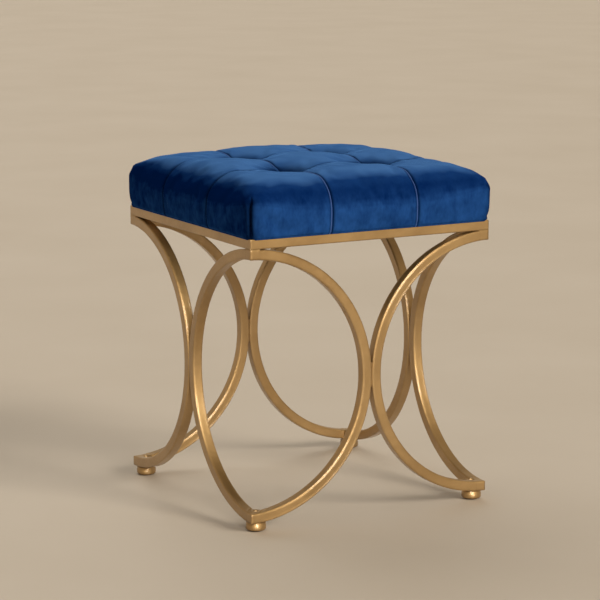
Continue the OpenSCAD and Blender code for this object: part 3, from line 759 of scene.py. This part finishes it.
def velvet():
    """Royal blue velvet, with painted shade on the shoulder and on its left, a painted sheen on
    top, painted shade and highlights along the folds, and cloudy where it has been brushed."""
    material, tree, shader = finish_named("blue_velvet")
    place = put(tree, "TexCoord")
    facing = put(tree, "SeparateXYZ", {0: place.outputs["Normal"]})
    form = put(tree, "Attribute", attribute_name="form_lean").outputs["Fac"]
    sockets = {"Factor": FORM_SHARE, "A": facing.outputs["Z"], "B": form}
    upward = put(tree, "Mix", sockets, data_type="FLOAT").outputs["Result"]
    blotches = cloud(tree, 75, 5, (1, 1, 0.75))
    sweeps = cloud(tree, 17, 3, (1, 1, 0.8))
    hairs = cloud(tree, 300, 3, (1, 1, 0.35))
    brushed = put(tree, "Mix", {"Factor": 0.4, "A": blotches, "B": sweeps}, data_type="FLOAT")
    brushed = brushed.outputs["Result"]
    nap = put(tree, "Mix", {"Factor": 0.22, "A": brushed, "B": hairs}, data_type="FLOAT")
    # Painted shade by facing, darkest on the shoulder.
    painted_facing_shade = put(tree, "ValToRGB", {"Fac": upward})
    painted_facing_shade.color_ramp.interpolation = "EASE"
    stops = painted_facing_shade.color_ramp.elements
    for stop, value in zip(stops, PAINTED_FACING_SHADE_ENDS):
        stop.color = (value, value, value, 1)
    for position, value in PAINTED_FACING_SHADE_STOPS:
        stops.new(position).color = (value, value, value, 1)
    # Painted shade on the faces that turn to the left, away from the window light.
    painted_left_shade = spread(tree, facing.outputs["X"], -1.0, -0.7, -0.42, 0.0)
    cloudy = spread(tree, nap.outputs["Result"], 0.34, 0.68, -0.34, 0.34)
    calmer = spread(tree, upward, 0.1, 0.5, 1.0, 0.3)
    cloudy = put(tree, "Math", {0: cloudy, 1: calmer}, operation="MULTIPLY").outputs[0]
    painted_shade_sum = put(tree, "Math", {0: painted_facing_shade.outputs["Color"], 1: painted_left_shade}, operation="ADD")
    shade = put(tree, "Math", {0: painted_shade_sum.outputs[0], 1: cloudy}, operation="ADD", use_clamp=True)
    # The pile's colour between its shaded and lit colours: painted shade and brushed nap.
    colour = mix(tree, shade.outputs[0], PILE_SHADED_AND_DARK_NAP, PILE_LIT_AND_LIGHT_NAP)
    # Painted sheen where the pile faces up, with a cloudy edge.
    patches = spread(tree, cloud(tree, 26, 1, (1, 1, 0.8)), 0.32, 0.68, -0.07, 0.07)
    lifted = put(tree, "Math", {0: upward, 1: patches}, operation="ADD").outputs[0]
    painted_sheen = spread(tree, lifted, 0.74, 0.99, 0.0, 0.88)
    colour = mix(tree, painted_sheen, colour, PILE_PAINTED_SHEEN)
    # Painted shade in folds, pleats and hollows, and painted highlight on the seams' folds.
    folds = put(tree, "Attribute", attribute_name="painted_fold_shade").outputs["Fac"]
    colour = mix(tree, spread(tree, folds, 0.0, 1.0), PAINTED_SHADE_IN_FOLDS, colour)
    colour = mix(tree, spread(tree, folds, 1.0, 2.0, 0.0, 0.9), colour, PAINTED_HIGHLIGHT_ON_FOLDS)
    tree.links.new(colour, shader.inputs["Base Color"])
    pile = relief(tree, cloud(tree, 2200, 2), PILE_RELIEF)
    tree.links.new(pile, shader.inputs["Normal"])
    shader.inputs["Roughness"].default_value = 0.9
    shader.inputs["Specular IOR Level"].default_value = 0.0
    shader.inputs["Sheen Weight"].default_value = 0.45
    shader.inputs["Sheen Roughness"].default_value = 0.16
    shader.inputs["Sheen Tint"].default_value = (0.18, 0.46, 1.0, 1)
    return material


cushion = add_piece("velvet_cushion", points, faces, velvet())
normals = np.empty(len(points) * 3)
cushion.data.vertex_normals.foreach_get("vector", normals)
shown = np.clip((points[:, 2] - HEM_Z - 0.0003) / 0.003, 0, 1)
# This attribute holds the painted shade and painted highlight along the folds, pleats and tuft
# hollows.
shades = cushion.data.attributes.new("painted_fold_shade", "FLOAT", "POINT")
shades.data.foreach_set("value", painted_fold_shade(points))
# How far the plain form faces up; this sets the painted shade on the shoulder and the painted
# sheen on top.
leans = cushion.data.attributes.new("form_lean", "FLOAT", "POINT")
hidden = len(points) - count**2 - len(fine_turns) * around
leans.data.foreach_set("value", form_lean(fine_lines, fine_turns, hidden))
rise = shown * (seam_relief(points) + pleat_relief(points) + unevenness(points))
points = points + normals.reshape(-1, 3) * rise[:, None]
cushion.data.vertices.foreach_set("co", points.ravel())
cushion.data.update()
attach(cushion, "stool")
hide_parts("seat_cover", "seat_foam")


# Dust cover: thin black spunbonded cloth, stretched under the board and clamped between the
# rails and the seat. It sags a little where it is free, and has a hole for each seat bolt.
DUST_HALF = 0.1925
DUST_TOP = 0.4279
DUST_T = 0.0004
DUST_SAG = 0.0022
FREE_HALF = 0.183
BOLT_AT = 0.160
BOLT_HOLE_D = 0.0070
SLACK_REACH = 0.06
BRACKET_REACH = 0.082
DUST_LINES = 78


def dust_sag(x, y):
    """How far the dust cover hangs down: nowhere over the rails and the corner brackets."""
    in_x, in_y = FREE_HALF - np.abs(x), FREE_HALF - np.abs(y)
    free = np.clip(in_x / SLACK_REACH, 0, 1) * np.clip(in_y / SLACK_REACH, 0, 1)
    free *= np.clip((in_x + in_y - BRACKET_REACH) / 0.08, 0, 1)
    waves = np.sin(x * 95 + 2.3 * np.sin(y * 31)) + np.sin(y * 83 + 1.7 * np.sin(x * 37))
    return np.sqrt(free) * (DUST_SAG + 0.00025 * waves)


def dust_form():
    """Points and faces of the dust cover: a lower and an upper skin, joined at the edge."""
    lines = np.linspace(-DUST_HALF, DUST_HALF, DUST_LINES)
    x, y = np.meshgrid(lines, lines, indexing="ij")
    upper = np.stack([x, y, DUST_TOP - dust_sag(x, y)], axis=-1).reshape(-1, 3)
    points = np.concatenate([upper, upper - [0, 0, DUST_T]])
    numbers = np.arange(len(lines) ** 2).reshape(x.shape)
    a, b = numbers[:-1, :-1].ravel(), numbers[1:, :-1].ravel()
    c, d = numbers[1:, 1:].ravel(), numbers[:-1, 1:].ravel()
    below = len(upper)
    edge = round_the_edge(numbers)
    following = np.roll(edge, -1)
    faces = np.stack([a, b, c, d], axis=1).tolist()
    faces += (np.stack([d, c, b, a], axis=1) + below).tolist()
    faces += np.stack([following, edge, edge + below, following + below], axis=1).tolist()
    return points, faces


def spunbond():
    """Black non-woven cloth with a fine pattern of bonded points."""
    material, tree, shader = finish_named("black_spunbond")
    fibres = spread(tree, cloud(tree, 700, 4), 0.35, 0.65)
    colour = mix(tree, fibres, (0.006, 0.006, 0.007, 1), (0.022, 0.022, 0.024, 1))
    tree.links.new(colour, shader.inputs["Base Color"])
    place = put(tree, "TexCoord").outputs["Object"]
    points = put(tree, "TexVoronoi", {"Vector": place, "Scale": 620, "Randomness": 0.15})
    bonds = spread(tree, points.outputs["Distance"], 0.15, 0.40)
    tree.links.new(relief(tree, bonds, 0.0001), shader.inputs["Normal"])
    shader.inputs["Roughness"].default_value = 0.75
    return material


dust_cover = add_piece("dust_cloth", *dust_form(), spunbond())
for bolt_x in (-BOLT_AT, BOLT_AT):
    for bolt_y in (-BOLT_AT, BOLT_AT):
        points, faces = turned([(BOLT_HOLE_D / 2, -0.004), (BOLT_HOLE_D / 2, 0.004)])
        cut_out(dust_cover, np.array(points) + [bolt_x, bolt_y, DUST_TOP], faces)
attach(dust_cover, "stool")
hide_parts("dust_cover")

# Staples: flat steel wire, driven through the dust cover and the folded velvet into the
# board, in a row inside each rail.
STAPLE_W = 0.010
STAPLE_WIRE = 0.0012
STAPLE_T = 0.0006
STAPLE_AT = 0.176
STAPLE_STEP = 0.030
STAPLE_ROW = STAPLE_STEP * np.arange(-3.5, 4)

staple_points, staple_faces = [], []
for side in range(4):
    for place in STAPLE_ROW:
        skew = 0.12 * math.sin(place * 900 + side)
        half_w, half_wire = STAPLE_W / 2, STAPLE_WIRE / 2
        points, faces = box_form((-half_w, -half_wire, -STAPLE_T), (half_w, half_wire, 0))
        points[:, 1] += points[:, 0] * skew
        points += [place, -STAPLE_AT, DUST_TOP - DUST_T - float(dust_sag(place, STAPLE_AT))]
        turn = side * math.pi / 2
        x = points[:, 0] * math.cos(turn) - points[:, 1] * math.sin(turn)
        y = points[:, 0] * math.sin(turn) + points[:, 1] * math.cos(turn)
        staple_faces += [tuple(v + len(staple_points) for v in face) for face in faces]
        staple_points += list(zip(x, y, points[:, 2]))
staples = add_piece("staples", staple_points, staple_faces, zinc, False)
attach(staples, "stool")

# Studio: a pale stone floor without end and soft window light from the front right. The gloss
# gets its own window, more to the front, and a weak light from behind opens the far sides.
# The room is pale, and the metal reflects its warm walls.
FLOOR_HALF = 30.0
BACKDROP_LIGHT = 0.62
ROOM_LIGHT = 0.22


def pale_stone():
    """Pale, smooth, slightly cloudy stone."""
    material, tree, shader = finish_named("pale_stone")
    clouds = spread(tree, cloud(tree, 2.5, 4), 0.3, 0.7)
    colour = mix(tree, clouds, (0.56, 0.48, 0.38, 1), (0.59, 0.51, 0.41, 1))
    tree.links.new(colour, shader.inputs["Base Color"])
    shader.inputs["Roughness"].default_value = 0.6
    return material


def sky_light(name, turn, height, spread_angle, strength, colour):
    """A broad soft light from that turn and height, in degrees."""
    data = bpy.data.lights.new(name, "SUN")
    data.angle = math.radians(spread_angle)
    data.energy = strength
    data.color = colour
    placed = bpy.data.objects.new(name, data)
    placed.rotation_euler = (math.radians(90 - height), 0, math.radians(turn))
    bpy.context.collection.objects.link(placed)
    return placed


floor_points = FLOOR_HALF * np.array([(-1, -1, 0), (1, -1, 0), (1, 1, 0), (-1, 1, 0)])
floor = add_piece("floor", floor_points, [(0, 1, 2, 3)], pale_stone(), False)
floor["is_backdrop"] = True
window = sky_light("window_light", 32, 27, 26, 2.5, (1.0, 0.95, 0.88))
window.visible_glossy = False
gleam = sky_light("window_gleam", -13, 27, 28, 5.4, (0.98, 0.95, 0.90))
gleam.visible_diffuse = False
fill = sky_light("fill_light", 178, 38, 60, 1.5, (1.0, 0.97, 0.93))
fill.visible_glossy = False

room = bpy.data.worlds.new("pale_room")
room.use_nodes = True
air = room.node_tree
background = air.nodes["Background"]
rays = put(air, "LightPath").outputs
warm = mix(air, rays["Is Glossy Ray"], (0.96, 0.90, 0.80, 1), (1.0, 0.79, 0.52, 1))
air.links.new(warm, background.inputs["Color"])
direction = put(air, "TexCoord").outputs["Generated"]
overhead = put(air, "SeparateXYZ", {0: direction}).outputs["Z"]
walls = spread(air, overhead, 0.25, 0.85, 0.57, 0.28)
reflected = put(air, "Math", {0: rays["Is Glossy Ray"], 1: walls}, operation="MULTIPLY")
backdrop = put(air, "Math", {0: rays["Is Camera Ray"], 1: BACKDROP_LIGHT}, operation="MULTIPLY")
seen = put(air, "Math", {0: reflected.outputs[0], 1: backdrop.outputs[0]}, operation="MAXIMUM")
strength = put(air, "Math", {0: seen.outputs[0], 1: ROOM_LIGHT}, operation="MAXIMUM").outputs[0]
air.links.new(strength, background.inputs["Strength"])
bpy.context.scene.world = room
bpy.context.scene.view_settings.view_transform = "Standard"

boxes = {"cad": cad_box, "visual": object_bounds()}
boxes = {name: [[float(v) for v in corner] for corner in box] for name, box in boxes.items()}
